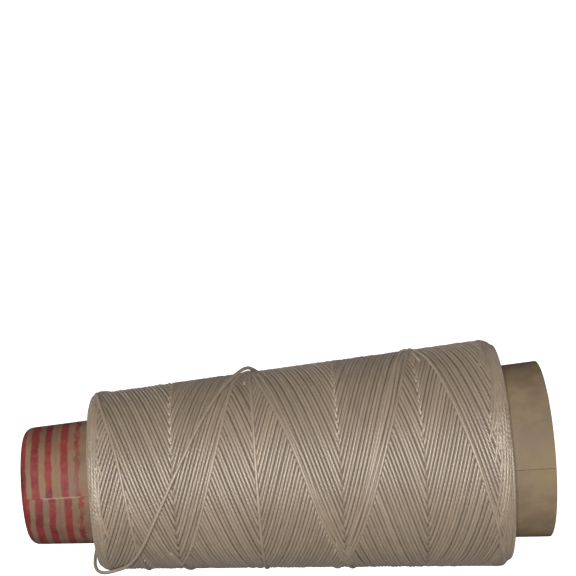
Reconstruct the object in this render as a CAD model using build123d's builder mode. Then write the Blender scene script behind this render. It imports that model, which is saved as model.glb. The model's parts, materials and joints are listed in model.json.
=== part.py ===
"""Waxed linen thread, cross-wound on a rolled-paper cone and lying on its side.

Frame: +X runs from the cone's small end (the nose) to its large end (the base), +Z is up.
The thread package rests on the plane Z = 0 along its lowest line, so the cone's own axis
climbs towards the base. The origin is on that plane, under the middle of the object.

Places on the spool are given as "along" (mm from the nose's front face, on the cone's axis),
"around" (degrees about that axis: 0 is straight down, -90 faces -Y, 90 faces +Y) and a
distance from the axis.
"""
import math
import os

from build123d import *

os.makedirs("parts", exist_ok=True)

# ---------------------------------------------------------------- driving dimensions (mm)
# The paper cone: a kraft sheet rolled and glued in four plies, its small end curled inwards.
CONE_LENGTH = 170.0
NOSE_RADIUS = 19.0          # outside, where the taper meets the nose's front face
BASE_RADIUS = 29.0          # outside, at the large end
PLY_THICKNESS = 0.5
PLY_NAMES = ["core_outer_ply", "core_third_ply", "core_second_ply", "core_inner_ply"]
GLUE_LINE = 0.02            # between one ply and the next
NOSE_ROLL_RADIUS = 3.2      # outside radius of the curl
NOSE_LIP_REACH = 8.0        # from the nose's front face to the curled-in edge
BASE_EDGE_ROUND = 0.2       # worn outer edge of the large end
SEAM_ANGLE = -102.0         # where the outer ply's edges meet, around the cone
SEAM_WIDTH = 0.12           # the slit left between those edges, at the large end

# The thread package.
THREAD_DIAMETER = 1.12
PACKAGE_START = 23.1        # its small end face, along the cone
PACKAGE_LENGTH = 132.5
PACKAGE_SMALL_RADIUS = 28.8
PACKAGE_LARGE_RADIUS = 37.47
SMALL_SHOULDER_RADIUS = 3.0
LARGE_SHOULDER_RADIUS = 4.5
LAYER_COUNT = 5             # double layers: one traverse out and one back fill each of them
LAYER_GAP = 0.02            # between one double layer and the next
REST_FLAT_DEPTH = 0.25      # how far the soft package is pressed flat where it lies

# The first turns, laid tight and side by side on the bare paper to hold the thread's inner end.
START_TURN_COUNT = 5
START_TURNS_INSET = 26.6    # the first of them, back from the package's large end
START_TURN_CLEARANCE = 0.05

# Strands that cross the finished surface, and the one that has slipped off the small end.
STRAND_CLEARANCE = 0.1      # between a crossing strand and the package under it
STRAND_STEP = 15.0          # degrees, at most, between the points that a strand is laid through
BEND_SHARE = 0.45           # of the shorter run beside it that a bend in a strand may use up

# ---------------------------------------------------------------- what follows from them
cone_taper = math.atan2(BASE_RADIUS - NOSE_RADIUS, CONE_LENGTH)
package_taper = math.atan2(PACKAGE_LARGE_RADIUS - PACKAGE_SMALL_RADIUS, PACKAGE_LENGTH)
package_end = PACKAGE_START + PACKAGE_LENGTH
thread_radius = THREAD_DIAMETER / 2

# The curl's centre, placed so that its outside touches both the taper and the front face.
curl_along = NOSE_ROLL_RADIUS
curl_radius = (NOSE_RADIUS + curl_along * math.tan(cone_taper)
               - NOSE_ROLL_RADIUS / math.cos(cone_taper))
throat_radius = curl_radius - NOSE_ROLL_RADIUS

# The cone's axis is tilted by the package's taper, so the package's lowest line is level.
tilt = package_taper
axis_height = (PACKAGE_SMALL_RADIUS * math.cos(tilt) - PACKAGE_START * math.sin(tilt)
               - REST_FLAT_DEPTH)
lowest_x = curl_along * math.cos(tilt) - curl_radius * math.sin(tilt) - NOSE_ROLL_RADIUS
highest_x = CONE_LENGTH * math.cos(tilt) + BASE_RADIUS * math.sin(tilt)
nose_point = Vector(-(lowest_x + highest_x) / 2, 0, axis_height)
axis_direction = Vector(math.cos(tilt), 0, math.sin(tilt))
down_direction = Vector(math.sin(tilt), 0, -math.cos(tilt))
spool_axis = Axis(nose_point, axis_direction)


def section_plane(around=180.0):
    """The half-plane through the axis at an angle: its x is along, its y is outwards."""
    outwards = spool_point(0, around, 1) - nose_point
    return Plane(origin=nose_point, x_dir=axis_direction, z_dir=axis_direction.cross(outwards))


def spool_point(along, around, radius):
    """A point of the row frame from its place on the spool."""
    angle = math.radians(around)
    return (nose_point + axis_direction * along
            + down_direction * (radius * math.cos(angle))
            + Vector(0, radius * math.sin(angle), 0))


def cone_radius(along):
    """Outside radius of the paper cone."""
    return NOSE_RADIUS + along * math.tan(cone_taper)


def package_radius(along):
    """Outside radius of the thread package, before its shoulders are rounded."""
    return PACKAGE_SMALL_RADIUS + (along - PACKAGE_START) * math.tan(package_taper)


def layer_radius(along, share):
    """Radius at a share of the thread's depth: 0 on the paper, 1 at the package's surface."""
    inner = cone_radius(along) + LAYER_GAP
    return inner + share * (package_radius(along) - inner)


# ---------------------------------------------------------------- the paper cone's plies
def ply_outline(outer_depth):
    """One ply, cut through: down the taper, round the curl and back along the lip."""
    inner_depth = outer_depth + PLY_THICKNESS
    leave = 90 + math.degrees(cone_taper)
    edges = []
    for depth in (outer_depth, inner_depth):
        bend = NOSE_ROLL_RADIUS - depth
        arc = CenterArc((curl_along, curl_radius), bend, leave, 180 + 90 - leave)
        base_point = (CONE_LENGTH, BASE_RADIUS - depth / math.cos(cone_taper))
        lip_point = (NOSE_LIP_REACH, curl_radius - bend)
        edges.append((Line(base_point, arc @ 0), Line(arc @ 1, lip_point)))
    Line(edges[0][0] @ 0, edges[1][0] @ 0)
    Line(edges[0][1] @ 1, edges[1][1] @ 1)


# The outer ply is one sheet whose two edges nearly meet, so it stops short of a full turn.
seam_degrees = math.degrees(SEAM_WIDTH / BASE_RADIUS)
with BuildPart() as outer_ply:
    with BuildSketch(section_plane(SEAM_ANGLE)):
        with BuildLine():
            ply_outline(0)
        make_face()
        base_corner = vertices().sort_by(Axis.X)[-2:].sort_by(Axis.Y)[-1]
        fillet(base_corner, radius=BASE_EDGE_ROUND)
    revolve(axis=spool_axis, revolution_arc=360 - seam_degrees)

with BuildPart() as third_ply:
    with BuildSketch(section_plane()):
        with BuildLine():
            ply_outline(PLY_THICKNESS + GLUE_LINE)
        make_face()
    revolve(axis=spool_axis)

with BuildPart() as second_ply:
    with BuildSketch(section_plane()):
        with BuildLine():
            ply_outline(2 * (PLY_THICKNESS + GLUE_LINE))
        make_face()
    revolve(axis=spool_axis)

with BuildPart() as inner_ply:
    with BuildSketch(section_plane()):
        with BuildLine():
            ply_outline(3 * (PLY_THICKNESS + GLUE_LINE))
        make_face()
    revolve(axis=spool_axis)


# ---------------------------------------------------------------- the thread's first turns
def start_turn_centre(number):
    """Along and radius of one of the first turns, counted from the nose side."""
    along = package_end - START_TURNS_INSET + number * (THREAD_DIAMETER + LAYER_GAP)
    return along, cone_radius(along) + thread_radius + START_TURN_CLEARANCE


with BuildPart() as start_turns:
    with BuildSketch(section_plane()):
        for number in range(START_TURN_COUNT):
            with Locations(start_turn_centre(number)):
                Circle(thread_radius)
    revolve(axis=spool_axis)


# ---------------------------------------------------------------- the thread's double layers
def package_outline():
    """The whole package, cut through, before its shoulders are rounded."""
    Polyline((PACKAGE_START, layer_radius(PACKAGE_START, 0)),
             (PACKAGE_START, PACKAGE_SMALL_RADIUS),
             (package_end, PACKAGE_LARGE_RADIUS),
             (package_end, layer_radius(package_end, 0)), close=True)


def layer_band(number):
    """The band that one double layer fills, drawn a little longer than the package."""
    start = PACKAGE_START - THREAD_DIAMETER
    end = package_end + THREAD_DIAMETER
    inner = (number - 1) / LAYER_COUNT
    outer = number / LAYER_COUNT
    Polyline((start, layer_radius(start, inner) + LAYER_GAP),
             (start, layer_radius(start, outer)),
             (end, layer_radius(end, outer)),
             (end, layer_radius(end, inner) + LAYER_GAP), close=True)


def start_turn_recess():
    """The room that the first layer leaves for the start turns, which it bridges."""
    depth = THREAD_DIAMETER + 2 * START_TURN_CLEARANCE
    start = start_turn_centre(0)[0] - thread_radius - START_TURN_CLEARANCE
    end = start_turn_centre(START_TURN_COUNT - 1)[0] + thread_radius + START_TURN_CLEARANCE
    Polyline((start, cone_radius(start) - LAYER_GAP), (start, cone_radius(start) + depth),
             (end, cone_radius(end) + depth), (end, cone_radius(end) - LAYER_GAP), close=True)


layers = []
for layer_number in range(1, LAYER_COUNT + 1):
    with BuildPart() as layer:
        with BuildSketch(section_plane()):
            with BuildLine():
                package_outline()
            make_face()
            shoulders = vertices().sort_by(Axis.Y)[-2:]
            fillet(shoulders[-1], radius=LARGE_SHOULDER_RADIUS)
            fillet(vertices().sort_by(Axis.X)[:2].sort_by(Axis.Y)[-1],
                   radius=SMALL_SHOULDER_RADIUS)
            with BuildLine():
                layer_band(layer_number)
            make_face(mode=Mode.INTERSECT)
            if layer_number == 1:
                with BuildLine():
                    start_turn_recess()
                make_face(mode=Mode.SUBTRACT)
        revolve(axis=spool_axis)
        if layer_number == LAYER_COUNT:
            # The package is soft, and lies flat on what it stands on.
            split(bisect_by=Plane.XY, keep=Keep.TOP)
    layer.part.label = f"thread_layer_{layer_number}"
    layers.append(layer)


# ---------------------------------------------------------------- strands that cross the surface
def bend_radii(points):
    """A radius for each inner point of a route, from its shorter run and the turn there."""
    radii = []
    for before, here, after in zip(points, points[1:], points[2:]):
        turn = math.radians((here - before).get_angle(after - here))
        shorter = min((here - before).length, (after - here).length)
        radii.append(BEND_SHARE * shorter / math.tan(turn / 2))
    return radii


def report_route(name, points):
    radii = bend_radii(points)
    runs = [(end - start).length for start, end in zip(points, points[1:])]
    print(f"{name}: radii {min(radii):.1f} to {max(radii):.1f} mm,",
          f"runs {min(runs):.1f} to {max(runs):.1f} mm, {sum(runs):.0f} mm in all")


def strand_route(stations):
    """Points on the package's surface for a strand given by its (share, around) stations."""
    lift = thread_radius + STRAND_CLEARANCE
    points = []
    for (share, around), (next_share, next_around) in zip(stations, stations[1:]):
        steps = math.ceil(abs(next_around - around) / STRAND_STEP)
        for step in range(steps):
            part_way = step / steps
            points.append((share + part_way * (next_share - share),
                           around + part_way * (next_around - around)))
    points.append(stations[-1])
    # The run between two points dips towards the package, so both of them are moved outwards.
    dip = 1 / math.cos(math.radians(STRAND_STEP / 2))
    route = []
    for share, around in points:
        along = PACKAGE_START + share * PACKAGE_LENGTH
        route.append(spool_point(along, around, (package_radius(along) + lift) * dip))
    return route


# Each strand runs once over the top and down the front, along the lie of the layer below it.
# Its stations are shares of the package's length, from the small end, and angles around.
STRANDS = {
    "outgoing from the nose": [(0.025, -175), (0.064, -135), (0.087, -100), (0.095, -76)],
    "round the middle": [(0.401, -196), (0.401, -120), (0.399, -75), (0.405, -36)],
    "outgoing past the middle": [(0.422, -172), (0.506, -116), (0.536, -91), (0.589, -58)],
    "returning from the base": [(0.790, -183), (0.748, -146), (0.693, -109), (0.624, -63)],
    "outgoing to the base": [(0.836, -177), (0.887, -137), (0.924, -111), (0.962, -80)],
}
with BuildPart() as crossing_strands:
    for strand_name, stations in STRANDS.items():
        route = strand_route(stations)
        report_route(strand_name, route)
        with BuildLine():
            strand_line = FilletPolyline(*route, radius=bend_radii(route))
        with BuildSketch(Plane(origin=strand_line @ 0, z_dir=strand_line % 0)):
            Circle(thread_radius)
        sweep(path=strand_line)

# The slack loop: it leaves the winding at the back of the top, slants down the front, hangs
# round the package's small end and goes back in between two layers behind the cone. Each point
# is a share of the package's length, an angle around, and how far the strand stands clear of
# the package's surface. Shares below 0 are in front of the small end face, where the strand
# drops below the line of that surface.
SLACK_LOOP_ROUTE = [
    (0.4250, -226.12, 0.11),
    (0.4151, -219.06, 0.37),
    (0.4021, -211.00, 0.74),
    (0.3898, -202.08, 1.04),
    (0.3739, -191.03, 0.86),
    (0.3498, -178.96, 0.77),
    (0.3220, -166.09, 0.71),
    (0.2918, -153.00, 0.71),
    (0.2618, -140.01, 0.74),
    (0.2333, -127.06, 0.70),
    (0.2030, -114.04, 0.75),
    (0.1746, -100.98, 0.70),
    (0.1469, -88.07, 0.88),
    (0.1214, -75.03, 1.16),
    (0.0956, -62.96, 1.58),
    (0.0684, -52.95, 1.62),
    (0.0398, -44.50, 0.97),
    (0.0114, -37.50, 1.09),
    (-0.0104, -30.41, 0.36),
    (-0.0220, -22.03, -1.17),
    (-0.0248, -11.90, -2.95),
    (-0.0229, -2.08, -4.40),
    (-0.0156, 6.95, -5.24),
    (-0.0053, 14.45, -5.67),
]
loop_points = []
for share, around, clear in SLACK_LOOP_ROUTE:
    along = PACKAGE_START + share * PACKAGE_LENGTH
    radius = package_radius(along) + thread_radius + clear
    loop_points.append(spool_point(along, around, radius))
report_route("slack loop", loop_points)
with BuildPart() as slack_loop:
    with BuildLine():
        loop_line = FilletPolyline(*loop_points, radius=bend_radii(loop_points))
    with BuildSketch(Plane(origin=loop_line @ 0, z_dir=loop_line % 0)):
        Circle(thread_radius)
    sweep(path=loop_line)
loop_volume = math.pi * thread_radius ** 2 * loop_line.length
print(f"slack loop: {loop_line.length:.1f} mm of line,",
      f"tube volume {slack_loop.part.volume:.1f} for {loop_volume:.1f} mm3")

# ---------------------------------------------------------------- the files
for name, ply in zip(PLY_NAMES, (outer_ply, third_ply, second_ply, inner_ply)):
    ply.part.label = name
start_turns.part.label = "thread_start_turns"
crossing_strands.part.label = "crossing_strands"
slack_loop.part.label = "slack_loop"

pieces = [outer_ply, third_ply, second_ply, inner_ply, start_turns, *layers,
          crossing_strands, slack_loop]
for piece in pieces:
    export_step(piece.part, f"parts/{piece.part.label}.step")

print(f"object: {highest_x - lowest_x:.2f} mm long, throat radius {throat_radius:.3f} mm,",
      f"axis tilted {math.degrees(tilt):.3f} degrees")
base_middle = spool_point(CONE_LENGTH, 0, BASE_RADIUS - 2 * PLY_THICKNESS)
lip_middle = spool_point((NOSE_LIP_REACH + curl_along) / 2, 0, 0)
print("base rim point", base_middle, "throat point", lip_middle, "axis", axis_direction)
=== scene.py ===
import json
import math

import bpy
import numpy as np
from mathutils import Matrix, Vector


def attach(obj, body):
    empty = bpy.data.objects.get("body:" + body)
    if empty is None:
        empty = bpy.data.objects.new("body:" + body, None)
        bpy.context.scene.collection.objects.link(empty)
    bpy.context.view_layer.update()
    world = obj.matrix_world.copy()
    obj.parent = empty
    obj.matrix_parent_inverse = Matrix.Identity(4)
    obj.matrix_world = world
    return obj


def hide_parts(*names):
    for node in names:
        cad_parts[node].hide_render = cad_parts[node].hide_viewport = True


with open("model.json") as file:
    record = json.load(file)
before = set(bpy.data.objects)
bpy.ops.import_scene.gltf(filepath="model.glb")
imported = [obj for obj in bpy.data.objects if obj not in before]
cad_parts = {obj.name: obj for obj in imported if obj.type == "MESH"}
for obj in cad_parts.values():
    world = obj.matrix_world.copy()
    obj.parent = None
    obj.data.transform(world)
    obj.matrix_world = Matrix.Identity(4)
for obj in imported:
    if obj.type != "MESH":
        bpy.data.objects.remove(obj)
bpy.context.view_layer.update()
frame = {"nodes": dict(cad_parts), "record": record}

# Waxed thread, cross-wound on a rolled-paper cone and lying on its side. The thread that can be
# seen is laid strand by strand as tubes, over a bed in dark painted shade; the cone's four plies
# are the imported bodies.

# ---------------------------------------------------------------- places on the spool (mm)
# "along" is measured on the cone's axis from the nose's front face, "around" is in degrees
# (0 down, -90 towards -Y, 180 up), and the third number is a distance from the axis.
MM = 0.001
THROAT_MIDDLE = 5.6              # the nose_throat mount, along
CONE_LENGTH = 170.0
NOSE_RADIUS = 19.0
BASE_RADIUS = 29.0
PACKAGE_START = 23.1
PACKAGE_END = 155.6
SMALL_RADIUS = 28.8
LARGE_RADIUS = 37.47
SMALL_SHOULDER = 3.0
LARGE_SHOULDER = 4.5
THREAD = 1.12                    # the thread's diameter
THREAD_RADIUS = THREAD / 2

mounts = {mount["name"]: mount for mount in frame["record"]["mounts"]}
axis = -np.array(mounts["nose_throat"]["axis"])
down = np.array([axis[2], 0.0, -axis[0]])
side = np.array([0.0, 1.0, 0.0])
nose = np.array(mounts["nose_throat"]["pos_m"]) - axis * THROAT_MIDDLE * MM


def place(along, around, radius):
    """Points of the row frame, in metres, from their places on the spool."""
    angle = np.radians(np.asarray(around, float))[..., None]
    along = np.asarray(along, float)[..., None]
    radius = np.asarray(radius, float)[..., None]
    return nose + MM * (along * axis + radius * (np.cos(angle) * down + np.sin(angle) * side))


def outwards(around):
    """Unit vectors pointing away from the axis."""
    angle = np.radians(np.asarray(around, float))[..., None]
    return np.cos(angle) * down + np.sin(angle) * side


# ---------------------------------------------------------------- camera
CAMERA_PLACE = (-0.01702, -0.52187, 0.27790)
CAMERA_PAN = -1.917
CAMERA_TILT = -19.285
CAMERA_LENS = 108.65

camera_data = bpy.data.cameras.new("camera")
camera_data.lens = CAMERA_LENS
camera_data.sensor_width = 36.0
camera_data.clip_start = 0.01
camera = bpy.data.objects.new("camera", camera_data)
camera.location = CAMERA_PLACE
camera.rotation_euler = (math.radians(90 + CAMERA_TILT), 0, math.radians(CAMERA_PAN))
bpy.context.scene.collection.objects.link(camera)
bpy.context.scene.camera = camera
bpy.context.scene.view_settings.view_transform = "Standard"


# ---------------------------------------------------------------- node materials
class Nodes:
    """A material's node tree, with short calls to add nodes and links."""

    def __init__(self, name):
        self.material = bpy.data.materials.new(name)
        self.material.use_nodes = True
        self.tree = self.material.node_tree
        self.tree.nodes.clear()
        self.shader = self.add("ShaderNodeBsdfPrincipled")
        output = self.add("ShaderNodeOutputMaterial")
        self.link(self.shader.outputs["BSDF"], output.inputs["Surface"])

    def add(self, kind, **settings):
        node = self.tree.nodes.new(kind)
        for key, value in settings.items():
            setattr(node, key, value)
        return node

    def link(self, source, target):
        self.tree.links.new(source, target)

    def feed(self, target, value):
        """Links an output to a socket, or sets a plain value on it."""
        if isinstance(value, bpy.types.NodeSocket):
            self.link(value, target)
        else:
            target.default_value = value

    def maths(self, operation, *values, clamp=False):
        node = self.add("ShaderNodeMath", operation=operation, use_clamp=clamp)
        for socket, value in zip(node.inputs, values):
            self.feed(socket, value)
        return node.outputs[0]

    def noise(self, vector, scale, detail=3.0, roughness=0.5):
        node = self.add("ShaderNodeTexNoise")
        self.feed(node.inputs["Vector"], vector)
        node.inputs["Scale"].default_value = scale
        node.inputs["Detail"].default_value = detail
        node.inputs["Roughness"].default_value = roughness
        return node.outputs["Fac"]

    def ramp(self, value, low, high, to_low=0.0, to_high=1.0, smooth=True):
        node = self.add("ShaderNodeMapRange")
        node.interpolation_type = "SMOOTHSTEP" if smooth else "LINEAR"
        self.feed(node.inputs["Value"], value)
        node.inputs["From Min"].default_value = low
        node.inputs["From Max"].default_value = high
        node.inputs["To Min"].default_value = to_low
        node.inputs["To Max"].default_value = to_high
        return node.outputs["Result"]

    def blend(self, share, first, second, mode="MIX"):
        node = self.add("ShaderNodeMix", data_type="RGBA", blend_type=mode)
        self.feed(node.inputs["Factor"], share)
        for socket, colour in ((node.inputs[6], first), (node.inputs[7], second)):
            self.feed(socket, colour if isinstance(colour, bpy.types.NodeSocket) else (*colour, 1))
        return node.outputs[2]

    def scaled(self, vector, scale):
        node = self.add("ShaderNodeMapping")
        self.feed(node.inputs["Vector"], vector)
        node.inputs["Scale"].default_value = scale
        return node.outputs["Vector"]

    def bump(self, height, strength, distance):
        node = self.add("ShaderNodeBump")
        node.inputs["Strength"].default_value = strength
        node.inputs["Distance"].default_value = distance
        self.feed(node.inputs["Height"], height)
        return node.outputs["Normal"]


def spool_coordinates(nodes):
    """Sockets for the shaded point: its place in the frame, then its place on the spool, as mm
    along, turns around and mm from the axis."""
    place_node = nodes.add("ShaderNodeTexCoord")
    offset = nodes.add("ShaderNodeVectorMath", operation="SUBTRACT")
    nodes.link(place_node.outputs["Object"], offset.inputs[0])
    offset.inputs[1].default_value = nose
    parts = []
    for direction in (axis, down, side):
        dot = nodes.add("ShaderNodeVectorMath", operation="DOT_PRODUCT")
        nodes.link(offset.outputs[0], dot.inputs[0])
        dot.inputs[1].default_value = direction / MM
        parts.append(dot.outputs["Value"])
    angle = nodes.maths("ARCTAN2", parts[2], parts[1])
    turns = nodes.maths("DIVIDE", angle, 2 * math.pi)
    square = nodes.maths("ADD", nodes.maths("POWER", parts[1], 2.0),
                         nodes.maths("POWER", parts[2], 2.0))
    return place_node.outputs["Object"], parts[0], turns, nodes.maths("SQRT", square)


# ---------------------------------------------------------------- the thread's material
THREAD_PALE = (0.262, 0.199, 0.138)
THREAD_DEEP = (0.112, 0.083, 0.056)
PLY_LAY = 4.6                    # mm of thread in one turn of its three plies
THREAD_PLIES = 3
PLY_LOBES = 0.07                 # how far the plies of a loose strand stand out, as a share

# What makes a thread paler, and by how much between its deep colour (0) and its pale one (1).
PALE_BY_FIBRES = 0.26
PALE_BY_SLUBS = 0.20
PALE_BY_STRAND = 0.30            # each strand has a tint of its own
PALE_BY_PLACE = 0.10
# Painted highlight and shade: the plies' crests are coloured paler and the grooves between them
# darker, as the light falls on them.
PAINTED_HIGHLIGHT_ON_CRESTS = 0.18


def make_thread_material():
    """Waxed three-ply thread. Its strand map holds mm along the thread and turns around it."""
    nodes = Nodes("waxed_thread")
    strand_map = nodes.add("ShaderNodeUVMap", uv_map="strand")
    split = nodes.add("ShaderNodeSeparateXYZ")
    nodes.link(strand_map.outputs["UV"], split.inputs[0])
    length, turn = split.outputs[0], split.outputs[1]
    tint = nodes.add("ShaderNodeAttribute", attribute_name="tint").outputs["Fac"]

    lay = nodes.maths("DIVIDE", length, PLY_LAY)
    phase = nodes.maths("MULTIPLY", nodes.maths("ADD", turn, lay), THREAD_PLIES * math.pi)
    crest = nodes.maths("POWER", nodes.maths("ABSOLUTE", nodes.maths("SINE", phase)), 0.6)

    place_on = nodes.add("ShaderNodeTexCoord").outputs["Object"]
    along_strand = nodes.add("ShaderNodeCombineXYZ")
    nodes.link(nodes.maths("MULTIPLY", length, 0.9), along_strand.inputs[0])
    twisted = nodes.maths("MULTIPLY", nodes.maths("ADD", turn, lay), 14.0)
    nodes.link(twisted, along_strand.inputs[1])
    fibres = nodes.noise(along_strand.outputs[0], 1.6, 4.0, 0.6)
    slubs = nodes.noise(nodes.scaled(strand_map.outputs["UV"], (0.16, 0.0, 0.0)), 1.0, 2.0)
    broad = nodes.noise(place_on, 38.0, 2.0)

    shade = nodes.maths("MULTIPLY", nodes.ramp(fibres, 0.25, 0.75), PALE_BY_FIBRES)
    for value, share in ((nodes.ramp(slubs, 0.3, 0.7), PALE_BY_SLUBS), (tint, PALE_BY_STRAND),
                         (nodes.ramp(broad, 0.3, 0.7), PALE_BY_PLACE)):
        shade = nodes.maths("ADD", shade, nodes.maths("MULTIPLY", value, share))
    # Painted highlight on the ply crests, painted shade in the grooves between them.
    shade = nodes.maths("ADD", shade, nodes.maths("MULTIPLY", crest, PAINTED_HIGHLIGHT_ON_CRESTS), clamp=True)
    colour = nodes.blend(shade, THREAD_DEEP, THREAD_PALE)
    nodes.link(colour, nodes.shader.inputs["Base Color"])

    rough = nodes.ramp(fibres, 0.2, 0.8, 0.38, 0.54)
    nodes.link(rough, nodes.shader.inputs["Roughness"])
    nodes.shader.inputs["Specular IOR Level"].default_value = 1.0
    nodes.shader.inputs["Sheen Weight"].default_value = 0.05
    nodes.shader.inputs["Sheen Roughness"].default_value = 0.5

    height = nodes.maths("ADD", crest, nodes.maths("MULTIPLY", fibres, 0.7))
    nodes.link(nodes.bump(height, 0.75, 0.00012), nodes.shader.inputs["Normal"])
    return nodes.material


thread_material = make_thread_material()


# ---------------------------------------------------------------- thread tubes
# The bake map lays every tube out flat as a strip, in rows across the unit square.
ROW_HEIGHT = 1.25                # to the thread's girth
ROW_USED = 0.9                   # the share of a row's height that a strip takes up
ROW_END = 0.995
STRIP_GAP = 0.002
MAP_FILL = 0.97
MAP_SPARE = 1.12                 # room for the row ends that no strip fits in
MAP_TOP = 0.99
CAP_CORNER = 0.998               # where all the tubes' end caps are put


class Tubes:
    """Collects thread tubes and makes one mesh of them, with a strand map and a bake map."""

    def __init__(self, sides, lobes=0.0):
        self.sides = sides
        self.lobes = lobes
        self.points, self.rings, self.lengths, self.tints = [], [], [], []

    def add(self, path, normal, radius, tint, start=0.0):
        """path and normal are (n, 3), radius is (n,) or one number, all in metres; start is the
        length of thread before the path, in mm."""
        count = len(path)
        step = np.linalg.norm(np.diff(path, axis=0), axis=1)
        length = np.concatenate([[0.0], np.cumsum(step)])
        tangent = np.gradient(path, axis=0)
        tangent /= np.linalg.norm(tangent, axis=1)[:, None]
        across = np.cross(tangent, normal)
        across /= np.linalg.norm(across, axis=1)[:, None]
        lift = np.cross(across, tangent)
        angle = np.linspace(0, 2 * math.pi, self.sides, endpoint=False)
        radius = np.broadcast_to(np.asarray(radius, float), (count,))[:, None]
        if self.lobes:
            twist = 2 * math.pi * (length[:, None] / MM + start) / PLY_LAY
            radius = radius * (1 + self.lobes * np.cos(THREAD_PLIES * (angle[None] + twist)))
        ring = (path[:, None]
                + (radius * np.cos(angle))[..., None] * lift[:, None]
                + (radius * np.sin(angle))[..., None] * across[:, None])
        self.points.append(ring.reshape(-1, 3))
        self.rings.append(count)
        self.lengths.append(length / MM + start)
        self.tints.append(np.full(count * self.sides, tint))

    def faces_and_maps(self):
        """Side faces and end caps, as vertex numbers, and the side faces' two maps."""
        sides = self.sides
        quads, caps, strand, bake = [], [], [], []
        total = sum(lengths[-1] - lengths[0] for lengths in self.lengths)
        row = math.pi * THREAD * ROW_HEIGHT
        scale = MAP_FILL / math.sqrt(total * row * MAP_SPARE)
        row_height = row * scale
        cursor_u, cursor_v = 0.0, 0.0
        first = 0
        for count, lengths in zip(self.rings, self.lengths):
            ring = np.arange(count - 1)[:, None] * sides + first
            spot = np.arange(sides)[None]
            following = (spot + 1) % sides
            quads.append(np.stack([ring + spot, ring + following, ring + sides + following,
                                   ring + sides + spot], -1).reshape(-1, 4))
            caps.append(first + np.arange(sides)[::-1])
            caps.append(first + (count - 1) * sides + np.arange(sides))
            u0 = np.repeat(lengths[:-1], sides)
            u1 = np.repeat(lengths[1:], sides)
            v0 = np.tile(np.arange(sides) / sides, count - 1)
            v1 = v0 + 1 / sides
            strand.append(np.stack([u0, v0, u0, v1, u1, v1, u1, v0], -1).reshape(-1, 2))
            width = (lengths[-1] - lengths[0]) * scale
            if cursor_u + width > ROW_END:
                cursor_u = 0.0
                cursor_v += row_height
            base = lengths[0]
            across_u = cursor_u + (np.stack([u0, u0, u1, u1], -1) - base) * scale
            across_v = cursor_v + row_height * ROW_USED * np.stack([v0, v1, v1, v0], -1)
            bake.append(np.stack([across_u, across_v], -1).reshape(-1, 2))
            cursor_u += width + STRIP_GAP
            first += count * sides
        bake = np.concatenate(bake)
        bake[:, 1] *= min(1.0, MAP_TOP / (cursor_v + row_height))
        return np.concatenate(quads), np.stack(caps), np.concatenate(strand), bake

    def make(self, name):
        """One piece of all the tubes, in the thread's material."""
        quads, caps, strand, bake = self.faces_and_maps()
        corners = np.concatenate([quads.ravel(), caps.ravel()])
        starts = np.concatenate([np.arange(len(quads)) * 4,
                                 len(quads) * 4 + np.arange(len(caps)) * self.sides])
        mesh = bpy.data.meshes.new(name)
        points = np.concatenate(self.points)
        mesh.vertices.add(len(points))
        mesh.vertices.foreach_set("co", points.astype(np.float32).ravel())
        mesh.loops.add(len(corners))
        mesh.loops.foreach_set("vertex_index", corners.astype(np.int32))
        mesh.polygons.add(len(starts))
        mesh.polygons.foreach_set("loop_start", starts.astype(np.int32))
        mesh.update(calc_edges=True)
        mesh.polygons.foreach_set("use_smooth", np.ones(len(starts), bool))
        cap_strand = np.zeros((caps.size, 2))
        cap_bake = np.full((caps.size, 2), CAP_CORNER)
        for map_name, values in (("strand", np.concatenate([strand, cap_strand])),
                                 ("OFBake", np.concatenate([bake, cap_bake]))):
            layer = mesh.uv_layers.new(name=map_name)
            layer.data.foreach_set("uv", values.astype(np.float32).ravel())
        tint = mesh.attributes.new("tint", "FLOAT", "POINT")
        tint.data.foreach_set("value", np.concatenate(self.tints).astype(np.float32))
        mesh.validate()
        mesh.materials.append(thread_material)
        piece = bpy.data.objects.new(name, mesh)
        bpy.context.scene.collection.objects.link(piece)
        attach(piece, "root")
        return piece


# ---------------------------------------------------------------- the slack loop, a free cord
# Its route is that of the slack_loop node: a share of the package's length, around, and how
# far the thread stands clear of the package's surface.
SLACK_LOOP_ROUTE = [
    (0.4250, -226.12, 0.11),
    (0.4151, -219.06, 0.37),
    (0.4021, -211.00, 0.74),
    (0.3898, -202.08, 1.04),
    (0.3739, -191.03, 0.86),
    (0.3498, -178.96, 0.77),
    (0.3220, -166.09, 0.71),
    (0.2918, -153.00, 0.71),
    (0.2618, -140.01, 0.74),
    (0.2333, -127.06, 0.70),
    (0.2030, -114.04, 0.75),
    (0.1746, -100.98, 0.70),
    (0.1469, -88.07, 0.88),
    (0.1214, -75.03, 1.16),
    (0.0956, -62.96, 1.58),
    (0.0684, -52.95, 1.62),
    (0.0398, -44.50, 0.97),
    (0.0114, -37.50, 1.09),
    (-0.0104, -30.41, 0.36),
    (-0.0220, -22.03, -1.17),
    (-0.0248, -11.90, -2.95),
    (-0.0229, -2.08, -4.40),
    (-0.0156, 6.95, -5.24),
    (-0.0053, 14.45, -5.67),
]
SLACK_LOOP_STEP = 0.30           # mm between its tube's rings
SLACK_LOOP_SIDES = 18
SLACK_LOOP_TINT = 0.55


def curve_line(points, name):
    """Points along the smooth line of a route, read from its NURBS spline."""
    curve = bpy.data.curves.new(name, "CURVE")
    curve.dimensions = "3D"
    curve.resolution_u = 16
    spline = curve.splines.new("NURBS")
    spline.points.add(len(points) - 1)
    for spot, point in zip(spline.points, points):
        spot.co = (*point, 1)
    spline.order_u = 3
    spline.use_endpoint_u = True
    holder = bpy.data.objects.new(name, curve)
    bpy.context.scene.collection.objects.link(holder)
    bpy.context.view_layer.update()
    mesh = bpy.data.meshes.new_from_object(holder)
    line = np.array([vertex.co for vertex in mesh.vertices])
    bpy.data.objects.remove(holder)
    return line


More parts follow.
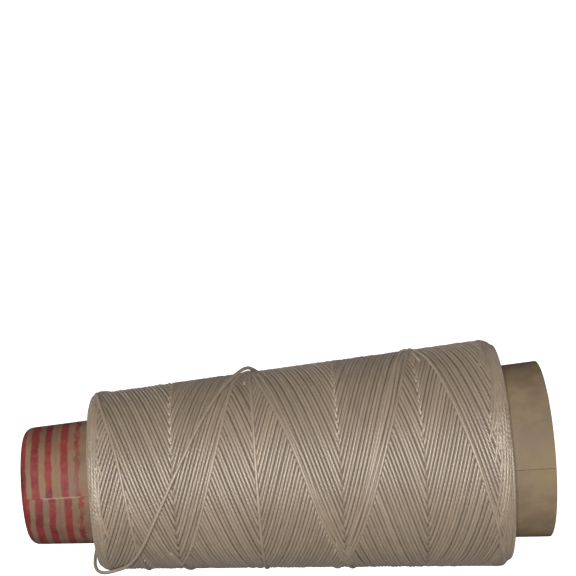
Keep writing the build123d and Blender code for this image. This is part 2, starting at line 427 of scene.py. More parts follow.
def resample(line, step):
    """The same line with points an even step apart."""
    lengths = np.concatenate([[0], np.cumsum(np.linalg.norm(np.diff(line, axis=0), axis=1))])
    count = max(int(round(lengths[-1] / step)), 2)
    spots = np.linspace(0, lengths[-1], count + 1)
    return np.stack([np.interp(spots, lengths, line[:, k]) for k in range(3)], -1)


def make_slack_loop():
    """The loop as a tube of thread on its node's route, in place of the slack_loop body, which is
    hidden.
    """
    share, around, clear = np.array(SLACK_LOOP_ROUTE).T
    surface = SMALL_RADIUS + share * (LARGE_RADIUS - SMALL_RADIUS)
    route = place(PACKAGE_START + share * (PACKAGE_END - PACKAGE_START), around,
                  surface + THREAD_RADIUS + clear)
    line = resample(curve_line(route, "slack_loop_line"), SLACK_LOOP_STEP * MM)
    away = line - nose
    away -= (away @ axis)[:, None] * axis
    away /= np.linalg.norm(away, axis=1)[:, None]
    tubes = Tubes(SLACK_LOOP_SIDES, lobes=PLY_LOBES)
    tubes.add(line, away, THREAD_RADIUS * MM, SLACK_LOOP_TINT)
    piece = tubes.make("slack_thread_loop")
    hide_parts("slack_loop")


make_slack_loop()


# ---------------------------------------------------------------- the winding's pattern
TAPER = math.atan2(LARGE_RADIUS - SMALL_RADIUS, PACKAGE_END - PACKAGE_START)
CHEVRONS = [24.0, 49.3, 75.7, 102.05, 128.4, 153.6]   # circles where the two ways interlace
ZONES = len(CHEVRONS) - 1
ADVANCE = (CHEVRONS[4] - CHEVRONS[1]) / 3 / math.pi   # mm along for each radian around
PASSES = 45                      # strands each way, side by side
SLOW_REACH = 4.0                 # mm at each end over which the traverse slows
SWAY = 0.22                      # radians: strands lie steeper on one side of the spool
SWAY_ANGLE = -118.0              # degrees around, to the middle of that side
SHOULDER_TURN = 1.25             # radians of each shoulder that is wound
SHOULDER_STEPS = 30
PAST_MARGIN = 0.3                # mm by which strands outside the end circles count as on top
CROSSOVER_FROM = -190            # degrees around, where the crossovers' tables begin
CROSSOVER_BLUR = 6.0             # degrees
CROSSOVER_WINDOW = 15            # degrees of blur, either way

# Where each zone between two chevrons changes from back-going to out-going strands on top,
# as (around, along), once round the spool.
CROSSOVERS = [
    [(-190, 24.0), (-152, 28.9), (-126, 32.5), (-97, 35.0), (-63, 36.4), (20, 49.0), (100, 38.0)],
    [(-200, 75.5), (-185, 71.5), (-145, 66.0), (-105, 60.0), (-47, 49.4), (50, 62.0)],
    [(-193, 75.8), (-165, 79.5), (-140, 85.0), (-110, 90.3), (-80, 95.4), (-58, 100.0),
     (-49, 102.0), (60, 89.0)],
    [(-192, 128.3), (-183, 127.0), (-146, 121.5), (-109, 114.2), (-63, 105.2), (-49, 102.1),
     (60, 115.0)],
    [(-200, 128.5), (-177, 133.0), (-137, 139.7), (-111, 144.6), (-80, 149.6), (-50, 153.0),
     (-30, 153.5), (70, 141.0)],
]


def surface_profile():
    """The package's outline as tables: reach on the outline, along, radius, and its normal."""
    start = np.array([PACKAGE_START + SMALL_SHOULDER, 0])
    start[1] = SMALL_RADIUS + SMALL_SHOULDER * math.tan(TAPER) - SMALL_SHOULDER / math.cos(TAPER)
    finish = np.array([PACKAGE_END - LARGE_SHOULDER, 0])
    finish[1] = LARGE_RADIUS - LARGE_SHOULDER * math.tan(TAPER) - LARGE_SHOULDER / math.cos(TAPER)
    face_up = math.pi / 2 + TAPER
    turn = np.linspace(face_up + SHOULDER_TURN, face_up, SHOULDER_STEPS)
    left = np.stack([start[0] + SMALL_SHOULDER * np.cos(turn),
                     start[1] + SMALL_SHOULDER * np.sin(turn), turn], -1)
    turn = np.linspace(face_up, face_up - SHOULDER_TURN, SHOULDER_STEPS)
    right = np.stack([finish[0] + LARGE_SHOULDER * np.cos(turn),
                      finish[1] + LARGE_SHOULDER * np.sin(turn), turn], -1)
    table = np.concatenate([left, right])
    reach = np.concatenate([[0], np.cumsum(np.linalg.norm(np.diff(table[:, :2], axis=0), axis=1))])
    return reach, table[:, 0], table[:, 1], table[:, 2]


REACH, PROFILE_ALONG, PROFILE_RADIUS, PROFILE_TURN = surface_profile()
FULL_REACH = REACH[-1]


def travel_table():
    """Radians that the spool turns while the strand gets to each reach of the outline."""
    reach = np.linspace(0, FULL_REACH, 4000)
    edge = np.minimum(reach, FULL_REACH - reach)
    speed = ADVANCE * np.sqrt(np.clip(edge / SLOW_REACH, 1e-4, 1))
    middle = (speed[1:] + speed[:-1]) / 2
    return reach, np.concatenate([[0], np.cumsum(np.diff(reach) / middle)])


TRAVEL_REACH, TRAVEL = travel_table()
FULL_TRAVEL = TRAVEL[-1]
SWAY_TABLE = np.radians(np.arange(-4 * 360, 6 * 360, 2.0))
SWAYED = SWAY_TABLE + SWAY * np.sin(SWAY_TABLE - math.radians(SWAY_ANGLE))


def unsway(angle):
    """Degrees around the spool, from radians of even winding."""
    return np.degrees(np.interp(angle, SWAYED, SWAY_TABLE))


def smoothstep(value):
    value = np.clip(value, 0, 1)
    return value * value * (3 - 2 * value)


def crossover_tables():
    """Each zone's crossover by whole degrees, smoothed a little."""
    tables = []
    degrees = np.arange(CROSSOVER_FROM, CROSSOVER_FROM + 360)
    window = np.arange(-CROSSOVER_WINDOW, CROSSOVER_WINDOW + 1)
    window = np.exp(-0.5 * (window / CROSSOVER_BLUR) ** 2)
    for stations in CROSSOVERS:
        around, along = zip(*stations)
        raw = np.interp(degrees, around, along, period=360)
        wrapped = np.concatenate([raw[-CROSSOVER_WINDOW:], raw, raw[:CROSSOVER_WINDOW]])
        tables.append(np.convolve(wrapped, window / window.sum(), "valid"))
    return tables


CROSSOVER_TABLES = crossover_tables()


def crossover(zone, around):
    """Along, where a zone's strands on top change from one way to the other."""
    spot = (np.asarray(around) - CROSSOVER_FROM) % 360
    table = CROSSOVER_TABLES[zone]
    return np.interp(spot, np.arange(361), np.append(table, table[0]))


def zone_of(along):
    """The number of the zone between two chevrons, from 0 at the small end."""
    return np.clip(np.searchsorted(CHEVRONS, along) - 1, 0, ZONES - 1)


def clearance(along, around, outgoing):
    """How far inside the part of its zone where it lies on top a strand is, in mm along."""
    zone = zone_of(along)
    low = np.array(CHEVRONS)[zone]
    high = np.array(CHEVRONS)[zone + 1]
    change = np.choose(zone, [crossover(number, around) for number in range(ZONES)])
    if outgoing:
        inside = np.minimum(along - change, high - along)
        inside = np.where(along < CHEVRONS[0], CHEVRONS[0] - along + PAST_MARGIN, inside)
        return np.where(along > CHEVRONS[-1], CHEVRONS[-1] - along, inside)
    inside = np.minimum(along - low, change - along)
    inside = np.where(along < CHEVRONS[0], along - CHEVRONS[0], inside)
    return np.where(along > CHEVRONS[-1], along - CHEVRONS[-1] + PAST_MARGIN, inside)


# ---------------------------------------------------------------- the winding's strands
STRAND_STEP = 0.80               # mm between a strand's rings
STRAND_SIDES = 10
STRAND_RADIUS = 0.53             # a little under the thread's own, where it is pulled tight
DIVE_DEPTH = 0.98                # how far down a strand goes under the others
DIVE_WIDTH = 0.55                # mm along, over which it goes down
END_DIVE = 0.10                  # radians over which a pass goes under at each end
HIDDEN = 0.995                   # strands that are sunk further than this are left out
SHORTEST = 4                     # rings in the shortest stretch that is made
BED_DEPTH = 1.12                 # the solid bed under the top strands
EDGE_LIFT = 0.40                 # strands ride up on the edges of the layers at each end
EDGE_REACH = 5.0                 # mm from each end where they begin to
EDGE_EASE = 4.5                  # mm over which they do
GROUND_CLEARANCE = 0.02
MIDDLE_RADIUS = 33.5             # mm, for spacing rings evenly by angle
PASS_JITTER = 0.005              # radians
DRIFT = 0.055                    # mm by which strands wander along
HUMP = 0.055                     # mm by which they lie higher or lower


def keep_above_ground(points, radius):
    """The package's lowest strands are pressed flat on what it lies on."""
    points[:, 2] = np.maximum(points[:, 2], (radius + GROUND_CLEARANCE) * MM)
    return points


def strand_points(reach, around, depth):
    """Points of a strand and its normals, from reach, angle and depth."""
    edge = np.minimum(reach, FULL_REACH - reach)
    depth = depth - EDGE_LIFT * smoothstep((EDGE_REACH - edge) / EDGE_EASE)
    along = np.interp(reach, REACH, PROFILE_ALONG)
    radius = np.interp(reach, REACH, PROFILE_RADIUS)
    turn = np.interp(reach, REACH, PROFILE_TURN)
    points = place(along - depth * np.cos(turn), around, radius - depth * np.sin(turn))
    normal = np.cos(turn)[:, None] * axis + np.sin(turn)[:, None] * outwards(around)
    return keep_above_ground(points, THREAD_RADIUS), normal


def wander(random, spots, size, count=4, longest=9.0):
    """A smooth random line, as offsets at the spots, which are in radians of travel."""
    line = np.zeros_like(spots)
    for _ in range(count):
        wave = random.uniform(0.35, 1.0) * longest
        height = random.normal()
        line += height * np.sin(2 * math.pi * spots / wave + random.uniform(0, 2 * math.pi))
    return line * size / math.sqrt(count / 2)


def make_winding():
    """All the passes each way, each shown where it lies on top, as one piece for each zone."""
    random = np.random.default_rng(7)
    zones = [Tubes(STRAND_SIDES) for _ in range(ZONES)]
    spots = np.arange(0, FULL_TRAVEL, STRAND_STEP / MIDDLE_RADIUS)
    reach = np.interp(spots, TRAVEL, TRAVEL_REACH)
    for number in range(PASSES):
        for outgoing in (True, False):
            label = 2 * math.pi * number / PASSES + random.normal() * PASS_JITTER
            phase = label + spots if outgoing else label - spots
            around = unsway(phase % (2 * math.pi))
            around = np.degrees(np.unwrap(np.radians(around)))
            drift = wander(random, spots, DRIFT, 6)
            hump = wander(random, spots, HUMP, 5, 5.0)
            tint = random.uniform(0, 1)
            start = random.uniform(0, 500)
            along = np.interp(reach, REACH, PROFILE_ALONG)
            inside = clearance(along, around, outgoing)
            sunk = 1 - smoothstep(0.5 + inside / (2 * DIVE_WIDTH))
            edge = np.minimum(spots, FULL_TRAVEL - spots)
            sunk = np.maximum(sunk, 1 - smoothstep(edge / END_DIVE))
            depth = THREAD_RADIUS + hump + DIVE_DEPTH * sunk
            points, normal = strand_points(np.clip(reach + drift, 0, FULL_REACH), around, depth)
            shown = np.convolve(sunk < HIDDEN, np.ones(5), "same") > 0
            ends = np.flatnonzero(np.diff(np.concatenate([[0], shown, [0]])))
            for first, last in zip(ends[::2], ends[1::2]):
                if last - first < SHORTEST:
                    continue
                zone = int(zone_of(along[(first + last) // 2]))
                zones[zone].add(points[first:last], normal[first:last], STRAND_RADIUS * MM,
                                tint, start + STRAND_STEP * first)
    return [tubes.make(f"winding_zone_{number + 1}") for number, tubes in enumerate(zones)]


winding = make_winding()
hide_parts("thread_layer_5")


# ---------------------------------------------------------------- the bed under the strands, in painted shade
BED_GROUND = 0.9                 # mm from the ground to its pressed underside
BED_SEGMENTS = 180
BED_WALLS = (1.0, 1.5)           # mm thick, at its small and large ends
# Painted shade: these colours are far darker than the thread's and stand for the shadow between the
# top strands.
BED_SHADE_DEEP = (0.06, 0.048, 0.036)
BED_SHADE_PALE = (0.13, 0.105, 0.08)


def make_lathe(name, outline, segments, material):
    """A closed ring of revolution about the spool's axis, from its cross-section's outline."""
    around = np.arange(segments) * 360 / segments
    corners = len(outline)
    along, radius = np.array(outline).T
    points = np.concatenate([place(along, angle, radius) for angle in around])
    points[:, 2] = np.maximum(points[:, 2], BED_GROUND * MM)
    faces = []
    for spot in range(segments):
        for corner in range(corners):
            following = (corner + 1) % corners
            here, there = spot * corners, (spot + 1) % segments * corners
            faces.append((here + corner, here + following, there + following, there + corner))
    mesh = bpy.data.meshes.new(name)
    mesh.from_pydata(points.tolist(), [], faces)
    mesh.update()
    mesh.polygons.foreach_set("use_smooth", np.ones(len(faces), bool))
    mesh.materials.append(material)
    piece = bpy.data.objects.new(name, mesh)
    bpy.context.scene.collection.objects.link(piece)
    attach(piece, "root")
    return piece


def make_painted_shade_bed_material():
    """Painted shade: thread coloured dark as if in shadow between the top strands, and rough, in
    streaks that run round the spool.
    """
    nodes = Nodes("winding_bed_painted_shade")
    _, along, turns, _ = spool_coordinates(nodes)
    vector = nodes.add("ShaderNodeCombineXYZ")
    nodes.link(along, vector.inputs[0])
    nodes.link(nodes.maths("MULTIPLY", turns, 60.0), vector.inputs[1])
    cloud = nodes.noise(vector.outputs[0], 0.8)
    nodes.link(nodes.blend(cloud, BED_SHADE_DEEP, BED_SHADE_PALE), nodes.shader.inputs["Base Color"])
    nodes.link(nodes.ramp(cloud, 0.2, 0.8, 0.75, 0.95), nodes.shader.inputs["Roughness"])
    nodes.link(nodes.bump(cloud, 0.5, 0.0002), nodes.shader.inputs["Normal"])
    return nodes.material


painted_shade_bed_material = make_painted_shade_bed_material()


def make_bed():
    """A ring under the top strands, which closes what would show between them, coloured as painted
    shade.
    """
    outline = [(float(a - BED_DEPTH * math.cos(t)), float(r - BED_DEPTH * math.sin(t)))
               for a, r, t in zip(PROFILE_ALONG, PROFILE_RADIUS, PROFILE_TURN)]
    outline = outline[::3] + [outline[-1]]
    small_wall, large_wall = BED_WALLS
    inner = [(outline[-1][0], outline[-1][1] - large_wall),
             (outline[0][0], outline[0][1] - small_wall)]
    make_lathe("winding_bed_painted_shade", (outline + inner)[::-1], BED_SEGMENTS, painted_shade_bed_material)


make_bed()


# ---------------------------------------------------------------- strands on top of the rest
# Each is laid through (along, around) stations, and its two ends go under their neighbours.
PROUD_STRANDS = {
    "strand_from_nose": [(24.2, -205), (26.4, -175), (31.5, -135), (34.6, -100), (35.8, -76),
                         (36.8, -50), (38.6, -22)],
    "strand_round_middle": [(77.4, -232), (75.8, -196), (75.8, -120), (75.6, -75), (76.4, -36),
                            (77.6, -8)],
    "strand_past_middle": [(73.4, -208), (78.6, -172), (89.7, -116), (93.6, -91), (100.6, -58),
                           (104.6, -38)],
    "strand_past_middle_pair": [(75.4, -206), (80.4, -172), (91.2, -116), (95.0, -91),
                                (101.6, -60), (105.0, -42)],
    "strand_back_from_base": [(129.6, -200), (127.0, -183), (121.5, -146), (114.2, -109),
                              (105.2, -63), (100.4, -38)],
    "strand_back_from_base_second": [(128.0, -198), (125.6, -183), (120.2, -146), (112.9, -109),
                                     (104.2, -65), (100.2, -44)],
    "strand_back_from_base_third": [(126.4, -196), (124.2, -183), (118.9, -146), (111.7, -110),
                                    (104.4, -74), (102.6, -62)],
    "strand_to_base": [(127.6, -204), (133.0, -177), (139.7, -137), (144.6, -111), (149.6, -80),
                       (152.4, -56), (153.6, -34)],
    "strand_beside_chevron": [(75.0, -205), (71.5, -185), (66.0, -145), (60.0, -105),
                              (52.6, -62), (48.6, -40)],
    "strand_back_zone_one": [(47.0, 12), (49.0, 20), (43.5, 60), (38.0, 100), (31.0, 135),
                             (24.6, 166)],
    "strand_back_zone_two": [(46.0, -64), (49.4, -47), (62.0, 50), (75.5, 160), (78.0, 178)],
    "strand_back_zone_three": [(105.0, -68), (102.0, -49), (89.0, 60), (75.8, 167), (73.0, 188)],
    "strand_back_zone_four": [(99.0, -70), (102.1, -49), (115.0, 60), (128.3, 168), (131, 188)],
    "strand_back_zone_five": [(153.8, -40), (153.4, -28), (141.0, 70), (128.5, 160), (126.0, 180)],
}
PROUD_LIFT = 0.42                # how much higher than the top strands they lie
PROUD_STEP = 0.35                # mm between rings
PROUD_SIDES = 15
PROUD_RADIUS = 33                # mm, for spacing rings evenly by angle
PROUD_END = 5.0                  # degrees over which an end goes under
PROUD_END_DEPTH = 0.5            # how much deeper than a strand that dives
PROUD_DRIFT = 0.10               # mm by which they wander along
PROUD_HUMP = 0.05                # mm by which they lie higher or lower
SMOOTH_SAMPLES = 600
SMOOTH_BLUR = 7.0                # degrees


def smooth_line(stations, step):
    """Closely spaced (along, around) on a smooth line near the stations."""
    stations = np.array(stations, float)
    degrees = abs(stations[-1, 1] - stations[0, 1])
    around = np.linspace(stations[0, 1], stations[-1, 1], SMOOTH_SAMPLES)
    along = np.interp(around, stations[:, 1], stations[:, 0])
    spread = SMOOTH_SAMPLES / degrees * SMOOTH_BLUR
    half = int(3 * spread)
    window = np.exp(-0.5 * (np.arange(-half, half + 1) / spread) ** 2)
    slope = (along[1] - along[0]), (along[-1] - along[-2])
    before = along[0] + slope[0] * np.arange(-half, 0)
    after = along[-1] + slope[1] * np.arange(1, half + 1)
    along = np.convolve(np.concatenate([before, along, after]), window / window.sum(), "valid")
    points = int(degrees * math.radians(1) * PROUD_RADIUS / step)
    fine = np.linspace(around[0], around[-1], points)
    return np.interp(fine, around, along), fine


def make_proud_strands():
    """The lone strands, a piece each."""
    random = np.random.default_rng(19)
    made = []
    for name, stations in PROUD_STRANDS.items():
        along, around = smooth_line(stations, PROUD_STEP)
        reach = np.interp(along, PROFILE_ALONG, REACH)
        spots = np.radians(around - around[0])
        reach = reach + wander(random, spots, PROUD_DRIFT, 5, 2.5)
        edge = np.minimum(around - around[0], around[-1] - around)
        sunk = 1 - smoothstep(edge / PROUD_END)
        depth = THREAD_RADIUS - PROUD_LIFT + (DIVE_DEPTH + PROUD_LIFT + PROUD_END_DEPTH) * sunk
        depth = depth + wander(random, spots, PROUD_HUMP, 5, 2.0)
        points, normal = strand_points(np.clip(reach, 0, FULL_REACH), around, depth)
        tubes = Tubes(PROUD_SIDES, lobes=PLY_LOBES)
        tubes.add(points, normal, THREAD_RADIUS * MM, random.uniform(0.35, 0.9),
                  random.uniform(0, 500))
        made.append(tubes.make(name))
    return made


proud = make_proud_strands()
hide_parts("crossing_strands")


# ---------------------------------------------------------------- the ends of the package
EDGE_BUNDLES = 11                # at each end
STRANDS_IN_BUNDLE = 4            # one fewer at the small end
BUNDLE_FROM = (-96, -56)         # degrees around, of the first at the small and large ends
BUNDLE_SPAN = (80, 135)          # degrees
BUNDLE_SPACING = 1.06            # mm between its strands
BUNDLE_END_DEPTH = 1.5           # mm by which their ends go under
RING_SPACING = 0.98              # mm between turns on an end face
RING_HEIGHT = -0.28              # mm from the face out to the middle of such a turn
RING_SWAY = 0.28
RING_POINTS = 260
ARCS = (46, 64)                  # on the small and large end faces
ARC_SPAN = (70, 150)             # degrees
ARC_END_DEPTH = 1.2              # mm by which their ends go in


def make_end_turns(name, small):
    """Turns seen on an end face: strands that come back over the edge, laid layer on layer."""
    random = np.random.default_rng(31 if small else 37)
    face = PACKAGE_START if small else PACKAGE_END
    inwards = 1.0 if small else -1.0
    inner = NOSE_RADIUS + face * (BASE_RADIUS - NOSE_RADIUS) / CONE_LENGTH + THREAD_RADIUS + 0.1
    outer = (PROFILE_RADIUS[0] if small else PROFILE_RADIUS[-1]) + 0.1
    facing = -axis if small else axis
    tubes = Tubes(STRAND_SIDES)

    def lay(around, radius, height, tint):
        along = face - inwards * height
        points = keep_above_ground(place(along, around, radius), THREAD_RADIUS)
        normal = np.broadcast_to(facing, points.shape)
        tubes.add(points, normal, THREAD_RADIUS * MM, tint, random.uniform(0, 500))

    rings = int((outer - inner) / RING_SPACING) + 1
    for number in range(rings):
        around = np.linspace(0, 360, RING_POINTS) + random.uniform(0, 360)
        spots = np.radians(around - around[0])
        sway = RING_SWAY * np.sin(2 * spots + random.uniform(0, 6)) * np.sin(spots / 2) ** 2
        radius = inner + (outer - inner) * number / max(rings - 1, 1) + sway
        lay(around, radius, 0.08 * np.sin(3 * spots) + RING_HEIGHT, random.uniform(0, 1))
    for _ in range(ARCS[0] if small else ARCS[1]):
        span = random.uniform(*ARC_SPAN)
        around = np.linspace(0, span, int(span * 0.7)) + random.uniform(0, 360)
        share = (around - around[0]) / span
        base = random.uniform(inner + 0.2, outer - 0.2)
        bow = random.uniform(1.2, 3.4)
        radius = base + bow * (1 - (2 * share - 1) ** 2) - bow * 0.5
        radius = np.clip(radius, inner, outer + 0.5)
        lower = 1 - smoothstep(np.minimum(share, 1 - share) / 0.14)
        height = random.uniform(-0.12, 0.05) - ARC_END_DEPTH * lower
        lay(around, radius, height, random.uniform(0, 1))
    return tubes.make(name)


def make_edge_strands(name, small):
    """Bundles of strands that come to an end, run a way along its edge and go back."""
    random = np.random.default_rng(41 if small else 43)
    tubes = Tubes(STRAND_SIDES)
    for bundle in range(EDGE_BUNDLES):
        turning = 360 * bundle / EDGE_BUNDLES + random.uniform(-12, 12)
        turning += BUNDLE_FROM[0] if small else BUNDLE_FROM[1]
        span = random.uniform(*BUNDLE_SPAN)
        nearest = random.uniform(0.0, 1.4)
        bow = random.uniform(1.4, 2.6) if small else random.uniform(2.6, 4.4)
        lift = random.uniform(0.0, 0.30)
        for number in range(STRANDS_IN_BUNDLE - (1 if small else 0)):
            around = np.linspace(-span / 2, span / 2, int(span * 0.75)) * random.uniform(0.85, 1.1)
            share = 2 * around / span
            away = nearest + number * BUNDLE_SPACING + bow * share ** 2 * (1 + 0.4 * share)
            reach = away if small else FULL_REACH - away
            sunk = 1 - smoothstep((abs(share[0]) - np.abs(share)) / 0.16)
            depth = THREAD_RADIUS - lift + BUNDLE_END_DEPTH * sunk
            points, normal = strand_points(np.clip(reach, 0, FULL_REACH), around + turning, depth)
            tubes.add(points, normal, STRAND_RADIUS * MM, random.uniform(0, 1),
                      random.uniform(0, 500))
    return tubes.make(name)


make_edge_strands("edge_strands_small", True)
make_edge_strands("edge_strands_large", False)
make_end_turns("end_turns_small", True)
make_end_turns("end_turns_large", False)


# ---------------------------------------------------------------- the paper cone's materials
KRAFT_PALE = (0.166, 0.119, 0.072)
KRAFT_DEEP = (0.084, 0.058, 0.034)
KRAFT_OCHRE = (0.140, 0.101, 0.045)
FLECK = (0.10, 0.065, 0.04)
SEAM_PALE = (0.40, 0.30, 0.22)
STRIPE_RED = (0.150, 0.013, 0.013)
STRIPE_CRIMSON = (0.090, 0.005, 0.008)
STRIPES = [(0.9, 2.4), (5.0, 2.5), (9.3, 2.2), (14.5, 2.4), (18.6, 1.6)]   # middle, width
FAINT_LINE = 11.9                # a thin line printed between two of the bands
WASH_MIDDLE = 12.0               # the middle of the paper ahead of the thread
SEAM_ANGLE = -102.0
SEAM_STEP = 0.75                 # mm by which the bands don't meet at the seam
CURL_BARE = (16.6, 17.4)         # mm from the axis, inside which the curl has no print


def kraft(nodes, stripes):
    """Kraft board: mottled, with fine flecks and fibres, and printed bands near the nose.
    Returns the height of its surface, for bump."""
    place_on, along, turns, radius = spool_coordinates(nodes)
    cloud = nodes.noise(place_on, 55.0, 4.0, 0.6)
    mottle = nodes.noise(place_on, 160.0, 3.0, 0.6)
    lengthways = nodes.add("ShaderNodeCombineXYZ")
    nodes.link(nodes.maths("MULTIPLY", along, 0.35), lengthways.inputs[0])
    nodes.link(nodes.maths("MULTIPLY", turns, 420.0), lengthways.inputs[1])
    fibre = nodes.noise(lengthways.outputs[0], 1.0, 4.0, 0.65)
    fleck = nodes.ramp(nodes.noise(place_on, 900.0, 2.0), 0.62, 0.74)
    tone = nodes.maths("ADD", nodes.maths("MULTIPLY", nodes.ramp(cloud, 0.3, 0.7), 0.45),
                       nodes.maths("MULTIPLY", nodes.ramp(mottle, 0.3, 0.7), 0.30))
    tone = nodes.maths("ADD", tone, nodes.maths("MULTIPLY", fibre, 0.35), clamp=True)
    colour = nodes.blend(tone, KRAFT_DEEP, KRAFT_PALE)
    stain = nodes.ramp(nodes.noise(place_on, 42.0, 2.0), 0.50, 0.68, 0.0, 0.50)
    colour = nodes.blend(stain, colour, KRAFT_OCHRE)
    colour = nodes.blend(nodes.maths("MULTIPLY", fleck, 0.35), colour, FLECK)
    if stripes:
        colour = print_stripes(nodes, colour, place_on, along, turns, radius)
    nodes.link(colour, nodes.shader.inputs["Base Color"])
    nodes.link(nodes.ramp(mottle, 0.2, 0.8, 0.62, 0.84), nodes.shader.inputs["Roughness"])
    nodes.shader.inputs["Specular IOR Level"].default_value = 0.35
    return nodes.maths("ADD", nodes.maths("MULTIPLY", fibre, 0.6),
                       nodes.maths("MULTIPLY", mottle, 0.8))


def print_stripes(nodes, colour, place_on, along, turns, radius):
    """Red bands with soft, scuffed edges, set off from each other at the sheet's seam."""
    wobble = nodes.maths("SUBTRACT", nodes.noise(place_on, 260.0), 0.5)
    wobble = nodes.maths("MULTIPLY", wobble, 0.9)
    past = nodes.maths("SUBTRACT", turns, SEAM_ANGLE / 360)
    shift = nodes.ramp(past, 0.0, 0.10, SEAM_STEP, 0.0)
    here = nodes.maths("GREATER_THAN", past, 0.0)
    offset = nodes.maths("MULTIPLY", shift, here)
    spot = nodes.maths("SUBTRACT", nodes.maths("ADD", along, wobble), offset)
    ink = None
    for middle, width in STRIPES:
        off = nodes.maths("ABSOLUTE", nodes.maths("SUBTRACT", spot, middle))
        if middle == STRIPES[-1][0]:
            # The last band is ragged: its edges wander, and it was printed with less ink.
            ragged = nodes.ramp(nodes.noise(place_on, 420.0, 3.0, 0.7), 0.3, 0.7, -0.55, 0.55)
            off = nodes.maths("ADD", off, ragged)
            thin = nodes.ramp(nodes.noise(place_on, 150.0, 2.0), 0.35, 0.6, 0.55, 0.95)
            band = nodes.ramp(off, width / 2 - 0.25, width / 2 + 0.35, 1.0, 0.0)
            band = nodes.maths("MULTIPLY", band, thin)
        else:
            band = nodes.ramp(off, width / 2 - 0.35, width / 2 + 0.45, 1.0, 0.0)
        ink = band if ink is None else nodes.maths("MAXIMUM", ink, band)
    line = nodes.maths("ABSOLUTE", nodes.maths("SUBTRACT", spot, FAINT_LINE))
    line = nodes.ramp(line, 0.15, 0.55, 0.40, 0.0)
    # Between the bands the paper has taken up a little of the ink.
    wash = nodes.maths("ABSOLUTE", nodes.maths("SUBTRACT", spot, WASH_MIDDLE))
    wash = nodes.ramp(wash, 9.0, 11.5, 0.45, 0.0)
    wash = nodes.maths("MULTIPLY", wash, nodes.noise(place_on, 200.0, 3.0))
    ink = nodes.maths("MAXIMUM", nodes.maths("MAXIMUM", ink, line), wash)
    scuff = nodes.ramp(nodes.noise(place_on, 620.0, 3.0, 0.7), 0.34, 0.56, 0.84, 1.0)
    ink = nodes.maths("MULTIPLY", ink, scuff)
    # The curl is bare from its front inwards.
    ink = nodes.maths("MULTIPLY", ink, nodes.ramp(radius, *CURL_BARE))
    red = nodes.blend(nodes.ramp(nodes.noise(place_on, 120.0, 3.0), 0.38, 0.66),
                      STRIPE_RED, STRIPE_CRIMSON)
    colour = nodes.blend(nodes.maths("MULTIPLY", ink, 0.95), colour, red)
    seam = nodes.ramp(nodes.maths("ABSOLUTE", past), 0.0010, 0.0024, 0.40, 0.0)
    near_nose = nodes.ramp(along, 6.0, 8.0)
    near_nose = nodes.maths("MULTIPLY", near_nose, nodes.ramp(along, 18.5, 20.0, 1.0, 0.0))
    return nodes.blend(nodes.maths("MULTIPLY", seam, near_nose), colour, SEAM_PALE)


def make_kraft_material(name, stripes):
    nodes = Nodes(name)
    height = kraft(nodes, stripes)
    nodes.link(nodes.bump(height, 0.55, 0.00015), nodes.shader.inputs["Normal"])
    return nodes.material


def finish_bodies(node_names, material):
    """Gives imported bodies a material."""
    for node_name in node_names:
        body = frame["nodes"][node_name]
        body.data.materials.clear()
        body.data.materials.append(material)


printed = make_kraft_material("printed_kraft", True)
plain = make_kraft_material("plain_kraft", False)
finish_bodies(("core_inner_ply", "core_second_ply", "core_third_ply"), plain)
finish_bodies(("core_outer_ply",), printed)
# Inside the package: a little of the layers' end faces shows between the end turns, in the bed's
# painted shade.
finish_bodies([f"thread_layer_{number}" for number in range(1, 5)], painted_shade_bed_material)
finish_bodies(("thread_start_turns",), painted_shade_bed_material)


# ---------------------------------------------------------------- floor and light
FLOOR_CORNERS = 48
FLOOR_INNER = 0.4                # metres, as are the next three: the first ring of corners
FLOOR_REACH = 2.6                # how far the floor is flat
SWEEP_RADIUS = 0.8
WALL_TOP = 3.0
FLOOR_GLOW = 0.90
WORLD_GLOW = 0.06
LIGHTS_AIM = (0.0, 0.0, 0.035)
# Name, place, size, watts and whether it shows in reflections. The last four are low, behind the
# spool and at its ends, so that its far side is lit without a bright line along its top.
LIGHTS = [
    ("key", (-0.12, -1.20, 0.53), (0.30, 0.30), 31.5, True),
    ("fill", (0.55, -1.0, 0.06), (0.7, 0.5), 0.7, True),
    ("back_left", (-0.80, 1.00, 0.12), (0.7, 0.16), 12.0, False),
    ("back_right", (0.80, 1.00, 0.12), (0.7, 0.16), 12.0, False),
    ("nose_end", (-1.30, 0.15, 0.10), (0.4, 0.16), 6.0, False),
    ("base_end", (1.30, 0.15, 0.10), (0.4, 0.16), 6.0, False),
]


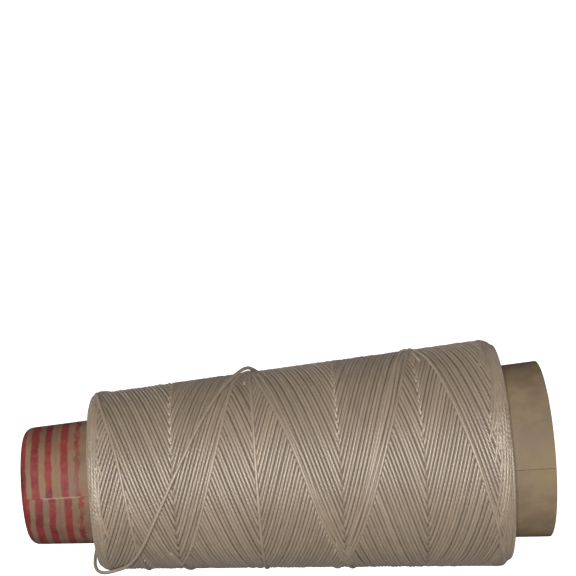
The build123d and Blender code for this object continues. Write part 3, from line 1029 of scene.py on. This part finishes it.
def make_floor():
    """A studio sweep: flat under the spool, curving up to a wall far outside it."""
    nodes = Nodes("floor")
    nodes.shader.inputs["Base Color"].default_value = (0.80, 0.80, 0.80, 1)
    nodes.shader.inputs["Roughness"].default_value = 0.9
    nodes.shader.inputs["Emission Color"].default_value = (1, 1, 1, 1)
    nodes.shader.inputs["Emission Strength"].default_value = FLOOR_GLOW
    outline = [(FLOOR_INNER, 0.0), (FLOOR_REACH, 0.0)]
    outline += [(FLOOR_REACH + SWEEP_RADIUS * math.sin(turn), SWEEP_RADIUS * (1 - math.cos(turn)))
                for turn in np.radians(np.arange(15, 91, 15))]
    outline.append((FLOOR_REACH + SWEEP_RADIUS, WALL_TOP))
    corners = FLOOR_CORNERS
    turns = [2 * math.pi * corner / corners for corner in range(corners)]
    points = [(0.0, 0.0, 0.0)] + [(reach * math.cos(turn), reach * math.sin(turn), height)
                                  for reach, height in outline for turn in turns]
    faces = [(0, 1 + corner, 1 + (corner + 1) % corners) for corner in range(corners)]
    for ring in range(len(outline) - 1):
        first = 1 + ring * corners
        for corner in range(corners):
            following = (corner + 1) % corners
            faces.append((first + corner, first + corners + corner,
                          first + corners + following, first + following))
    mesh = bpy.data.meshes.new("floor")
    mesh.from_pydata(points, [], faces)
    mesh.polygons.foreach_set("use_smooth", [True] * len(faces))
    mesh.materials.append(nodes.material)
    floor = bpy.data.objects.new("floor", mesh)
    bpy.context.scene.collection.objects.link(floor)
    # It's this bright so as to look white, and would light the underside of the spool.
    floor.visible_diffuse = False
    floor.visible_glossy = False


def make_light(name, place_at, size, power, seen_in_gloss):
    data = bpy.data.lights.new(name, "AREA")
    data.shape = "RECTANGLE"
    data.size, data.size_y = size
    data.energy = power
    light = bpy.data.objects.new(name, data)
    light.location = place_at
    light.visible_glossy = seen_in_gloss
    aim = Vector(LIGHTS_AIM) - Vector(place_at)
    light.rotation_euler = aim.to_track_quat("-Z", "Y").to_euler()
    bpy.context.scene.collection.objects.link(light)


def make_world():
    world = bpy.data.worlds.new("studio")
    world.use_nodes = True
    background = world.node_tree.nodes["Background"]
    background.inputs["Color"].default_value = (1.0, 1.0, 1.0, 1)
    background.inputs["Strength"].default_value = WORLD_GLOW
    bpy.context.scene.world = world


make_floor()
make_world()
for light_row in LIGHTS:
    make_light(*light_row)
